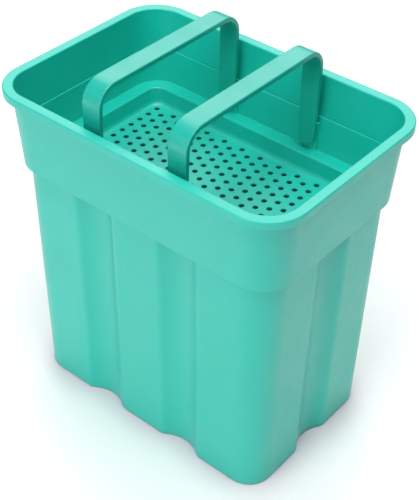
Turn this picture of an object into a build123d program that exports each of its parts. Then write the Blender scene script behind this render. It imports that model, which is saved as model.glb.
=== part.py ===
from build123d import *
from math import acos, atan2, cos, radians, sin, sqrt, tan
import os

os.makedirs("parts", exist_ok=True)

# A cleaning caddy: a tall fluted pail, a drainer tray that nests in the pail's mouth and lifts out,
# and two strap handles that hinge on the tray. They fold out flat onto the tray's ledge, stand up,
# or come together over the middle to be carried in one hand.
# Millimetres. X runs along the pail, Y across it and Z up. The origin is the middle of the base.

# ---- pail ----
rim_length = 327.4
rim_width = 225.0
rim_height = 340.0        # from the floor to the top of the rim
rim_corner = 40.0
lip_overhang = 7.3        # how far the rim reaches out past the wall
lip_thickness = 2.8
skirt_drop = 7.4          # from the top of the rim to the bottom of its turned-down edge
skirt_thickness = 2.0
lip_round = 1.2
pail_wall = 2.5
pail_floor = 3.0
band_height = 82.0        # the smooth band below the rim
band_draft = 3.0          # degrees
band_corner = 33.0
step_in = 5.2             # how far the body sets in below the band
shoulder_thickness = 2.8
body_draft = 1.0          # degrees
body_corner_top = 30.0
body_corner_base = 26.0
base_round = 2.5
flute_depth = 8.5
flute_chord = 44.0        # across the mouth of a flute, before its edges are rounded
flute_mouth_round = 10.0
flute_offset = 49.5       # from the middle of a long side to its flutes

# ---- tray ----
tray_gap = 0.6            # all round, between the tray and the pail
tray_wall = 1.8
tray_rim_drop = 41.5      # from the pail's rim down to the tray's top edge
seat_gap = 0.3            # between the ledge and the pail's shoulder
ledge_thickness = 2.0
basin_gap = 0.8           # between the basin's outside and the flutes' inner faces
basin_depth = 18.0        # from the top of the ledge to the top of the basin's floor
basin_draft = 5.0         # degrees
basin_corner = 12.0
basin_round = 5.0         # where the basin's wall meets its floor
basin_edge_round = 1.5    # along the ledge's inner edge
hole_diameter = 5.5
hole_pitch = 12.8         # between neighbouring drain holes, in a triangular pattern
hole_margin = 1.05        # from the edge of a hole to the rounded foot of the basin's wall

# ---- handles ----
pivot_x = 48.0            # from the tray's middle to each handle
pivot_above_ledge = 15.2
fold_gap = 2.5            # from the grip, folded out flat, to the tray's end wall
strap_thickness = 5.0
grip_width = 20.5
leg_end_width = 17.5
bend_tighter = 7.1        # how much tighter the strap's bends are than the tray's corners
strap_round = 1.2
taper_blend = 150.0       # where the legs' taper runs into the straight grip
pad_width = 19.0
pad_height = 29.0         # above the ledge
pad_depth = 1.9           # how far the pad stands in from the tray's wall at the ledge
leg_gap = 0.3             # between a leg and its pad
stud_diameter = 7.0
stud_clearance = 0.05     # radial, in the tray's hole
stud_lead = 0.6           # chamfer on the stud's end
stud_setback = 0.5        # the stud ends this far inside the tray's outer face

overcut = 1.0             # how far a cutting tool runs past the face it leaves through
same = 0.01               # lengths that differ by less than this are the same

# ---- heights ----
step_z = rim_height - band_height
seat_z = step_z + shoulder_thickness          # top of the pail's inner shoulder
ledge_under_z = seat_z + seat_gap
ledge_z = ledge_under_z + ledge_thickness
tray_top_z = rim_height - tray_rim_drop
basin_floor_z = ledge_z - basin_depth
basin_under_z = basin_floor_z - tray_wall
pivot_z = ledge_z + pivot_above_ledge


def band_size(z, inset):
    """Length, width and corner of the band's outline at a height, set in from its outer face."""
    shrink = 2 * (lip_overhang + (rim_height - z) * tan(radians(band_draft)) + inset)
    return rim_length - shrink, rim_width - shrink, band_corner - inset


def body_size(z):
    """Length, width and corner of the fluted body's outer face at a height."""
    length, width, _ = band_size(step_z, step_in)
    shrink = 2 * (step_z - z) * tan(radians(body_draft))
    corner = body_corner_base + (body_corner_top - body_corner_base) * z / step_z
    return length - shrink, width - shrink, corner


def basin_size(z, inset):
    """Length, width and corner of the basin's inside at a height; a negative inset is its outside."""
    length, width, _ = band_size(step_z, step_in + flute_depth + pail_wall + basin_gap + tray_wall)
    shrink = 2 * ((ledge_z - z) * tan(radians(basin_draft)) + inset)
    return length - shrink, width - shrink, basin_corner - inset


def outline(size, z):
    length, width, corner = size
    return Plane.XY.offset(z) * RectangleRounded(length, width, corner)


def fluted_outline(z, inset):
    """The body's outline at a height: a rounded rectangle with hollow flutes and rounded mouths."""
    length, width, corner = body_size(z)
    flute_radius = (flute_chord ** 2 / 4 + flute_depth ** 2) / (2 * flute_depth)
    stand_off = flute_radius - flute_depth
    places = [(side * (length / 2 + stand_off), 0) for side in (-1, 1)]
    for side in (-1, 1):
        for along in (-flute_offset, flute_offset):
            places.append((along, side * (width / 2 + stand_off)))
    face = RectangleRounded(length - 2 * inset, width - 2 * inset, corner - inset)
    face -= Locations(*places) * Circle(flute_radius + inset)
    mouths = []
    for vertex in face.vertices():
        for x, y in places:
            from_flute = sqrt((vertex.X - x) ** 2 + (vertex.Y - y) ** 2)
            if abs(from_flute - flute_radius - inset) < same:
                mouths.append(vertex)
    face = fillet(mouths, flute_mouth_round - inset)
    return Plane.XY.offset(z) * face


def between(lower, upper):
    return loft([lower, upper], ruled=True)


def make_bucket():
    body = between(fluted_outline(0, 0), fluted_outline(step_z, 0))
    body = fillet(body.edges().group_by(Axis.Z)[0], base_round)
    band_top = rim_height - lip_thickness
    band = between(outline(band_size(step_z, 0), step_z), outline(band_size(band_top, 0), band_top))
    rim = (rim_length, rim_width, rim_corner)
    lip = extrude(outline(rim, band_top), lip_thickness)
    skirt_inside = (rim_length - 2 * skirt_thickness, rim_width - 2 * skirt_thickness,
                    rim_corner - skirt_thickness)
    skirt_z = rim_height - skirt_drop
    skirt_face = outline(rim, skirt_z) - outline(skirt_inside, skirt_z)
    skirt = extrude(skirt_face, skirt_drop - lip_thickness)
    cavity_top = rim_height + overcut
    cavity = between(fluted_outline(pail_floor, pail_wall), fluted_outline(seat_z, pail_wall))
    mouth = between(outline(band_size(seat_z, pail_wall), seat_z),
                    outline(band_size(cavity_top, pail_wall), cavity_top))
    pail = body + band + lip + skirt - cavity - mouth
    top_edges = pail.faces().sort_by(Axis.Z)[-1].edges()
    return fillet(top_edges, lip_round)


def hole_places():
    """Drain holes on a triangular grid about the basin's middle, as many as the floor has room for."""
    length, width, _ = basin_size(basin_floor_z, basin_round + hole_margin + hole_diameter / 2)
    column = hole_pitch * cos(radians(30))
    row = hole_pitch * sin(radians(30))
    columns = int(length / 2 // column)
    rows = int(width / 2 // row)
    places = []
    for i in range(-columns, columns + 1):
        for j in range(-rows, rows + 1):
            if (i + j) % 2 == 0:
                places.append((i * column, j * row))
    return places


def make_insert():
    outside = pail_wall + tray_gap
    inside = outside + tray_wall
    upper = between(outline(band_size(ledge_under_z, outside), ledge_under_z),
                    outline(band_size(tray_top_z, outside), tray_top_z))
    basin = between(outline(basin_size(basin_under_z, -tray_wall), basin_under_z),
                    outline(basin_size(ledge_under_z, -tray_wall), ledge_under_z))
    basin = fillet(basin.edges().group_by(Axis.Z)[0], basin_round)
    hollow = between(outline(basin_size(basin_floor_z, 0), basin_floor_z),
                     outline(basin_size(ledge_z, 0), ledge_z))
    hollow = fillet(hollow.edges().group_by(Axis.Z)[0], basin_round)
    well_top = tray_top_z + overcut
    well = between(outline(band_size(ledge_z, inside), ledge_z),
                   outline(band_size(well_top, inside), well_top))
    shell = upper + basin
    tray = shell - hollow - well
    ledge_edge = [edge for edge in tray.edges()
                  if abs(edge.center().Z - ledge_z) < same and on_basin(edge)]
    tray = fillet(ledge_edge, basin_edge_round)
    drains = Locations(*[(x, y, basin_floor_z) for x, y in hole_places()])
    tray -= drains * Cylinder(hole_diameter / 2, 2 * (tray_wall + overcut))
    pads = Part()
    sockets = Part()
    for side in (-1, 1):
        for along in (-pivot_x, pivot_x):
            across = side * (pad_face_y + pad_blank / 2)
            pad = Box(pad_width, pad_blank, pad_height)
            pads += Pos(along, across, ledge_z + pad_height / 2) * pad
            socket = Cylinder(stud_diameter / 2 + stud_clearance, 2 * pad_blank)
            sockets += Pos(along, across, pivot_z) * Rot(X=90) * socket
    return tray + (pads & shell) - sockets


def on_basin(edge):
    """True where an edge at ledge level belongs to the basin's mouth, not to the tray's wall."""
    length, width, _ = basin_size(ledge_z, -tray_wall)
    return abs(edge.center().X) < length / 2 and abs(edge.center().Y) < width / 2


def leg_shape():
    """The strap seen along the grip: a rounded foot about the pivot, widening evenly to the grip."""
    foot = leg_end_width / 2
    shoulder = (grip_width / 2, handle_reach - bend_radius)
    reach = sqrt(shoulder[0] ** 2 + shoulder[1] ** 2)
    angle = atan2(shoulder[1], shoulder[0]) - acos(foot / reach)
    touch = (foot * cos(angle), foot * sin(angle))
    sides = Polyline((-touch[0], touch[1]), (-shoulder[0], shoulder[1]), (-shoulder[0], handle_reach),
                     (shoulder[0], handle_reach), shoulder, touch)
    end = ThreePointArc(touch, (0, -foot), (-touch[0], touch[1]))
    face = make_face(sides.edges() + end.edges())
    bends = [vertex for vertex in face.vertices() if abs(vertex.Y - shoulder[1]) < same]
    return fillet(bends, taper_blend)


def crosses_strap(edge):
    """True for an edge that runs straight across the strap's thickness, where its sides are smooth."""
    return edge.geom_type == GeomType.LINE and abs(edge.length - strap_thickness) < same


def make_handle(side):
    """A strap arch that stands on its pivot line, with a stud on the outside of each leg."""
    half_span = leg_face_y
    arch_height = handle_reach + leg_end_width
    outer = Pos(0, handle_reach - arch_height / 2) * Rectangle(2 * half_span, arch_height)
    outer = fillet(outer.vertices().group_by(Axis.Y)[-1], bend_radius)
    inner = Rectangle(2 * (half_span - strap_thickness), arch_height)
    inner = Pos(0, handle_reach - strap_thickness - arch_height / 2) * inner
    inner = fillet(inner.vertices().group_by(Axis.Y)[-1], bend_radius - strap_thickness)
    arch = extrude(Plane.YZ * (outer - inner), grip_width, both=True)
    arch = arch & extrude(Plane.XZ * leg_shape(), 2 * half_span, both=True)
    borders = [edge for edge in arch.edges() if not crosses_strap(edge)]
    arch = fillet(borders, strap_round)
    stud_length = tray_outer_y - stud_setback - half_span
    stud = Cylinder(stud_diameter / 2, stud_length + strap_thickness / 2)
    stud = chamfer(stud.edges().group_by(Axis.Z)[-1], stud_lead)
    for across in (-1, 1):
        middle = across * (half_span + stud_length / 2 - strap_thickness / 4)
        arch += Pos(0, middle, 0) * Rot(X=-90 * across) * stud
    return Pos(side * pivot_x, 0, pivot_z) * arch


# The pads stand in from the tray's wall and the legs stand just clear of the pads. Folded out, a
# handle just fits inside the tray, so its reach and its bends follow the tray's length and corners.
tray_inside = band_size(ledge_z, pail_wall + tray_gap + tray_wall)
tray_inner_y = tray_inside[1] / 2
handle_reach = tray_inside[0] / 2 - pivot_x - fold_gap
bend_radius = tray_inside[2] - bend_tighter
tray_outer_y = band_size(pivot_z, pail_wall + tray_gap)[1] / 2
pad_face_y = tray_inner_y - pad_depth
leg_face_y = pad_face_y - leg_gap
pad_blank = 2 * (band_size(tray_top_z, pail_wall)[1] / 2 - pad_face_y)

parts = {"bucket": make_bucket(), "insert": make_insert(),
         "handle_left": make_handle(-1), "handle_right": make_handle(1)}
for name, part in parts.items():
    export_step(part, f"parts/{name}.step")
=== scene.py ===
from math import cos, radians, sin

import bpy
from mathutils import Matrix, Vector


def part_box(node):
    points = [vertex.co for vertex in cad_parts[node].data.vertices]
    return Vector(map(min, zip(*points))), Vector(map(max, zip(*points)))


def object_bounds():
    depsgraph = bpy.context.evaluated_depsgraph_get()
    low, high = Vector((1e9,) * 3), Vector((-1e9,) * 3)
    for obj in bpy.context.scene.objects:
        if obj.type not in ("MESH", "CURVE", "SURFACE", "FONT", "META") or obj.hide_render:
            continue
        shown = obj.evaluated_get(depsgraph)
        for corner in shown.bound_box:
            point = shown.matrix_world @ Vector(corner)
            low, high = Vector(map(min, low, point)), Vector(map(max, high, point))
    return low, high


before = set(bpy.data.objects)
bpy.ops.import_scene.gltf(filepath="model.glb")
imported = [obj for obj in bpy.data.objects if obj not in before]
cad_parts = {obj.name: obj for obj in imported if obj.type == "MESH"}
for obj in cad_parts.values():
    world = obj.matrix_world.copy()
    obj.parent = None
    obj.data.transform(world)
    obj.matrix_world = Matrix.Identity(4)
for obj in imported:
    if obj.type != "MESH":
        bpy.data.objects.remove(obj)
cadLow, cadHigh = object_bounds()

scene = bpy.context.scene
middle = (cadLow + cadHigh) / 2
print("frame loaded:", ", ".join(sorted(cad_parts)))


cameraLooks = {
    "azimuth": 38.99,               # degrees round from the long front side
    "elevation": 39.46,
    "roll": 1.36,
    "distance": 1.1087,             # metres from the aim
    "lens": 82.74,
    "aim": (0.0082, 0.0, -0.0146),  # from the middle of the caddy's box
    "seesTo": 60,                   # far enough for the whole floor
}


# the way out from the middle to a camera or a light
def towardsSide(azimuth, elevation):
    turn, rise = radians(azimuth), radians(elevation)
    return Vector((sin(turn) * cos(rise), -cos(turn) * cos(rise), sin(rise)))


def addCamera(looks):
    back = towardsSide(looks["azimuth"], looks["elevation"])
    across = (-back).cross(Vector((0, 0, 1))).normalized()
    up = across.cross(-back)
    roll = radians(looks["roll"])
    right = cos(roll) * across + sin(roll) * up
    upright = cos(roll) * up - sin(roll) * across
    cameraData = bpy.data.cameras.new("camera")
    cameraData.lens = looks["lens"]
    cameraData.clip_end = looks["seesTo"]
    camera = bpy.data.objects.new("camera", cameraData)
    place = Matrix((right, upright, back)).transposed().to_4x4()
    place.translation = middle + Vector(looks["aim"]) + back * looks["distance"]
    camera.matrix_world = place
    scene.collection.objects.link(camera)
    scene.camera = camera


addCamera(cameraLooks)
print("camera placed")


# short helpers for wiring shader nodes
def node(tree, kind, inputs=None, **settings):
    made = tree.nodes.new(kind)
    for key, value in settings.items():
        setattr(made, key, value)
    for key, value in (inputs or {}).items():
        made.inputs[key].default_value = value
    return made


def noise(tree, where, scale, detail, roughness=0.5, stretch=None):
    made = node(tree, "ShaderNodeTexNoise",
                {"Scale": scale, "Detail": detail, "Roughness": roughness})
    if stretch:
        mapping = node(tree, "ShaderNodeMapping", {"Scale": stretch})
        tree.links.new(where, mapping.inputs["Vector"])
        where = mapping.outputs["Vector"]
    tree.links.new(where, made.inputs["Vector"])
    return made.outputs["Fac"]


# stretches the span taken of a value over the span given, and holds it there outside
def remap(tree, value, taken, given=(0, 1)):
    made = node(tree, "ShaderNodeMapRange",
                {"From Min": taken[0], "From Max": taken[1], "To Min": given[0], "To Max": given[1]})
    tree.links.new(value, made.inputs["Value"])
    return made.outputs["Result"]


def combine(tree, operation, a, b):
    made = node(tree, "ShaderNodeMath", operation=operation)
    for socket, value in zip(made.inputs, (a, b)):
        if isinstance(value, (int, float)):
            socket.default_value = value
        else:
            tree.links.new(value, socket)
    return made.outputs["Value"]


mixSockets = {"a": 6, "b": 7, "mixed": 2}   # a mix node's sockets for colour, whose names aren't its own


def mixColours(tree, amount, a, b):
    made = node(tree, "ShaderNodeMix", data_type="RGBA")
    tree.links.new(amount, made.inputs["Factor"])
    for socket, value in ((mixSockets["a"], a), (mixSockets["b"], b)):
        if isinstance(value, tuple):
            made.inputs[socket].default_value = (*value, 1)
        else:
            tree.links.new(value, made.inputs[socket])
    return made.outputs[mixSockets["mixed"]]


def bump(tree, height, strength, distance, under=None):
    made = node(tree, "ShaderNodeBump", {"Strength": strength, "Distance": distance})
    tree.links.new(height, made.inputs["Height"])
    if under:
        tree.links.new(under, made.inputs["Normal"])
    return made.outputs["Normal"]


# how far a floor has risen from its sagging middle, 0 there and 1 at the middle of each side
def sagging(tree, where, sag):
    axes = node(tree, "ShaderNodeSeparateXYZ")
    tree.links.new(where, axes.inputs["Vector"])
    along = combine(tree, "POWER", combine(tree, "DIVIDE", axes.outputs["X"], sag["halfLength"]), 2)
    across = combine(tree, "POWER", combine(tree, "DIVIDE", axes.outputs["Y"], sag["halfWidth"]), 2)
    low = combine(tree, "LESS_THAN", axes.outputs["Z"], sag["below"])   # only on the floor
    return combine(tree, "MULTIPLY", combine(tree, "ADD", along, across), low)


def mouldedPlastic(looks):
    material = bpy.data.materials.new(looks["name"])
    material.use_nodes = True
    tree = material.node_tree
    shader = tree.nodes["Principled BSDF"]
    where = node(tree, "ShaderNodeTexCoord").outputs["Object"]

    # softened corners, and how near to one a point is
    soft = node(tree, "ShaderNodeBevel", {"Radius": looks["edgeRadius"]}, samples=looks["edgeSamples"])
    geometry = node(tree, "ShaderNodeNewGeometry")
    facing = node(tree, "ShaderNodeVectorMath", operation="DOT_PRODUCT")
    tree.links.new(soft.outputs["Normal"], facing.inputs[0])
    tree.links.new(geometry.outputs["Normal"], facing.inputs[1])
    edge = remap(tree, facing.outputs["Value"], looks["edgeTurn"])

    # colour: slow drift of the melt, finer mottle, and paler edges, a painted highlight broken into
    # patches
    drift = remap(tree, noise(tree, where, looks["driftScale"], 2), looks["driftSpan"])
    colour = mixColours(tree, drift, looks["deepColour"], looks["colour"])
    mottle = noise(tree, where, looks["mottleScale"], 5)
    mottle = remap(tree, mottle, looks["mottleSpan"], (0, looks["mottle"]))
    colour = mixColours(tree, mottle, colour, looks["mottleAndHighlightColour"])
    # painted highlight: edges made paler where light would catch them
    patchy = noise(tree, where, looks["highlightPatchScale"], 4)
    patchy = remap(tree, patchy, looks["highlightPatchSpan"], (0, looks["edgeHighlight"]))
    highlit = combine(tree, "MULTIPLY", edge, patchy)
    colour = mixColours(tree, highlit, colour, looks["mottleAndHighlightColour"])
    tree.links.new(colour, shader.inputs["Base Color"])

    # sheen: patches polished and dulled, with fine rubbed streaks
    polish = noise(tree, where, looks["polishScale"], 4)
    polish = remap(tree, polish, looks["polishSpan"], looks["roughness"])
    streaks = noise(tree, where, looks["streakScale"], 3, looks["streakRagged"], looks["streakStretch"])
    streaks = remap(tree, streaks, looks["streakSpan"], (0, looks["streakDull"]))
    tree.links.new(combine(tree, "ADD", polish, streaks), shader.inputs["Roughness"])

    # surface: a sagging floor if it has one, slight waviness of a thin moulded wall, then fine grain
    under = soft.outputs["Normal"]
    if "sag" in looks:
        under = bump(tree, sagging(tree, where, looks["sag"]), 1.0, looks["sag"]["depth"], under)
    wavy = bump(tree, noise(tree, where, looks["waveScale"], 1), 1.0, looks["waveHeight"], under)
    fine = noise(tree, where, looks["grainScale"], 2)
    grain = bump(tree, fine, looks["grain"], looks["grainHeight"], wavy)
    tree.links.new(grain, shader.inputs["Normal"])

    shader.inputs["IOR"].default_value = looks["ior"]
    shader.inputs["Specular IOR Level"].default_value = looks["specular"]
    shader.inputs["Coat Weight"].default_value = looks["coat"]
    shader.inputs["Coat Roughness"].default_value = looks["coatRoughness"]
    shader.inputs["Diffuse Roughness"].default_value = looks["diffuseRoughness"]
    return material


# the pail's satin plastic; a span is the part of its noise that shows, a scale counts per metre
pailLooks = {
    "name": "pail_satin",
    "colour": (0.003, 0.555, 0.448),
    "deepColour": (0.002, 0.535, 0.430),
    "mottleAndHighlightColour": (0.160, 0.680, 0.590),    # mottle, and the painted highlight on edges
    "driftScale": 9.0,
    "driftSpan": (0.35, 0.65),
    "mottleScale": 70.0,
    "mottleSpan": (0.3, 0.75),
    "mottle": 0.04,
    "edgeRadius": 0.0010,                   # metres
    "edgeSamples": 4,
    "edgeTurn": (0.995, 0.85),              # cosine of a corner's turn, from no painted highlight to full
    # how strongly edges are painted paler, a painted highlight
    "edgeHighlight": 0.8,
    "highlightPatchScale": 45.0,
    "highlightPatchSpan": (0.4, 0.65),
    "roughness": (0.36, 0.46),              # polished to dull
    "polishScale": 38.0,
    "polishSpan": (0.3, 0.7),
    "streakScale": 90.0,
    "streakRagged": 0.6,
    "streakStretch": (1.0, 1.0, 0.08),      # drawn out up and down the walls
    "streakSpan": (0.62, 0.75),
    "streakDull": 0.08,                     # added to the roughness
    "waveScale": 11.0,
    "waveHeight": 0.0006,
    "grainScale": 1600.0,
    "grain": 0.25,
    "grainHeight": 0.00006,
    "ior": 1.5,
    "specular": 0.65,
    "coat": 0.15,
    "coatRoughness": 0.3,
    "diffuseRoughness": 0.0,
}

# the tray: the same plastic, finer drift and sharper edges, streaks drawn out along it
trayLooks = dict(pailLooks, name="tray_satin", driftScale=14.0, edgeRadius=0.0006,
                 streakStretch=(0.2, 1.0, 1.0), waveScale=18.0, waveHeight=0.0004)
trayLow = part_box("insert")[0]
trayLooks["sag"] = {
    "depth": 0.004,
    "halfLength": 0.125,
    "halfWidth": 0.073,
    "below": trayLow.z + 0.004,     # just over the drainer floor
}

# both handles: the same plastic painted darker, painted shade that holds down their brightly lit tops, a
# little glossier, streaks drawn out across the caddy
handleLooks = dict(pailLooks, name="handle_satin", driftScale=20.0, edgeRadius=0.0005,
                   colour=(0.004, 0.452, 0.362), deepColour=(0.003, 0.434, 0.347),
                   roughness=(0.34, 0.44), streakStretch=(1.0, 0.1, 1.0),
                   waveScale=24.0, waveHeight=0.0002)


def dress(nodeName, material):
    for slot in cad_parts[nodeName].material_slots:
        slot.material = material


dress("bucket", mouldedPlastic(pailLooks))
dress("insert", mouldedPlastic(trayLooks))
handleMaterial = mouldedPlastic(handleLooks)
dress("handle_left", handleMaterial)
dress("handle_right", handleMaterial)
print("plastic on the pail, the tray and both handles")


# white paper under the caddy, with a painted contact shadow at its foot
floorLooks = {
    "halfSize": 8.0,                        # metres
    "colour": (1.0, 1.0, 1.0),
    "shadowAndFleckColour": (0.80, 0.725, 0.80),   # painted shadow where the caddy shuts the light out, tinted lilac against its green bounce; also the flecks' colour
    "contactReach": 0.032,
    "contactSamples": 8,
    "openSpan": (0.5, 0.97),                # how open to the sky, from full painted shadow colour to none
    "fibreScale": 220.0,
    "fibre": 0.02,                          # share of the painted shadow colour in a fleck
    "fleckSpan": (0.35, 0.7),
    "roughness": (0.86, 0.94),
    "roughSpan": (0.3, 0.7),
    "fibreBump": 0.2,
    "fibreHeight": 0.0002,
    "specular": 0.0,
}


def addFloor(looks):
    half = looks["halfSize"]
    level = cadLow.z
    mesh = bpy.data.meshes.new("floor")
    corners = [(-half, -half, level), (half, -half, level), (half, half, level), (-half, half, level)]
    mesh.from_pydata(corners, [], [(0, 1, 2, 3)])
    floor = bpy.data.objects.new("floor", mesh)
    scene.collection.objects.link(floor)
    material = bpy.data.materials.new("floor_paper")
    material.use_nodes = True
    tree = material.node_tree
    shader = tree.nodes["Principled BSDF"]
    where = node(tree, "ShaderNodeTexCoord").outputs["Object"]

    # colour: a painted shadow close to the caddy's foot, tinted lilac to cancel the caddy's green
    # bounce, then flecks of paper fibre
    occlusion = node(tree, "ShaderNodeAmbientOcclusion", {"Distance": looks["contactReach"]},
                     samples=looks["contactSamples"])
    openness = remap(tree, occlusion.outputs["AO"], looks["openSpan"])
    colour = mixColours(tree, openness, looks["shadowAndFleckColour"], looks["colour"])
    fibre = noise(tree, where, looks["fibreScale"], 4)
    flecks = remap(tree, fibre, looks["fleckSpan"], (0, looks["fibre"]))
    colour = mixColours(tree, flecks, colour, looks["shadowAndFleckColour"])
    tree.links.new(colour, shader.inputs["Base Color"])

    rough = remap(tree, fibre, looks["roughSpan"], looks["roughness"])
    tree.links.new(rough, shader.inputs["Roughness"])
    raised = bump(tree, fibre, looks["fibreBump"], looks["fibreHeight"])
    tree.links.new(raised, shader.inputs["Normal"])
    shader.inputs["Specular IOR Level"].default_value = looks["specular"]
    mesh.materials.append(material)


# square soft cards round the caddy, all looking at its middle; the front one faces the long side
lightLooks = {
    "high": {"azimuth": 40, "elevation": 78, "away": 3.2, "size": 2.2, "power": 72},
    "front": {"azimuth": -4, "elevation": 25, "away": 3.2, "size": 2.0, "power": 44},
    "right": {"azimuth": 90, "elevation": 74, "away": 3.2, "size": 2.0, "power": 22},
    "backLeft": {"azimuth": 219, "elevation": 42, "away": 3.2, "size": 2.6, "power": 52},
}


def addLight(name, looks):
    lightData = bpy.data.lights.new(name, "AREA")
    lightData.shape = "SQUARE"
    lightData.size = looks["size"]
    lightData.energy = looks["power"]
    light = bpy.data.objects.new(name, lightData)
    towards = towardsSide(looks["azimuth"], looks["elevation"])
    light.location = middle + towards * looks["away"]
    light.rotation_mode = "QUATERNION"
    light.rotation_quaternion = (-towards).to_track_quat("-Z", "Y")
    scene.collection.objects.link(light)


# the room's own dim light, and how the picture is developed
studioLooks = {
    "sky": (1.0, 1.0, 1.0),
    "skyStrength": 0.05,
    "exposure": 0.0,
}


def addWorld(looks):
    world = bpy.data.worlds.new("studio")
    world.use_nodes = True
    sky = world.node_tree.nodes["Background"]
    sky.inputs["Color"].default_value = (*looks["sky"], 1)
    sky.inputs["Strength"].default_value = looks["skyStrength"]
    scene.world = world
    scene.view_settings.view_transform = "Standard"
    scene.view_settings.exposure = looks["exposure"]


addFloor(floorLooks)
for lightName, lightLook in lightLooks.items():
    addLight(lightName, lightLook)
addWorld(studioLooks)
print("floor, lights and sky set")
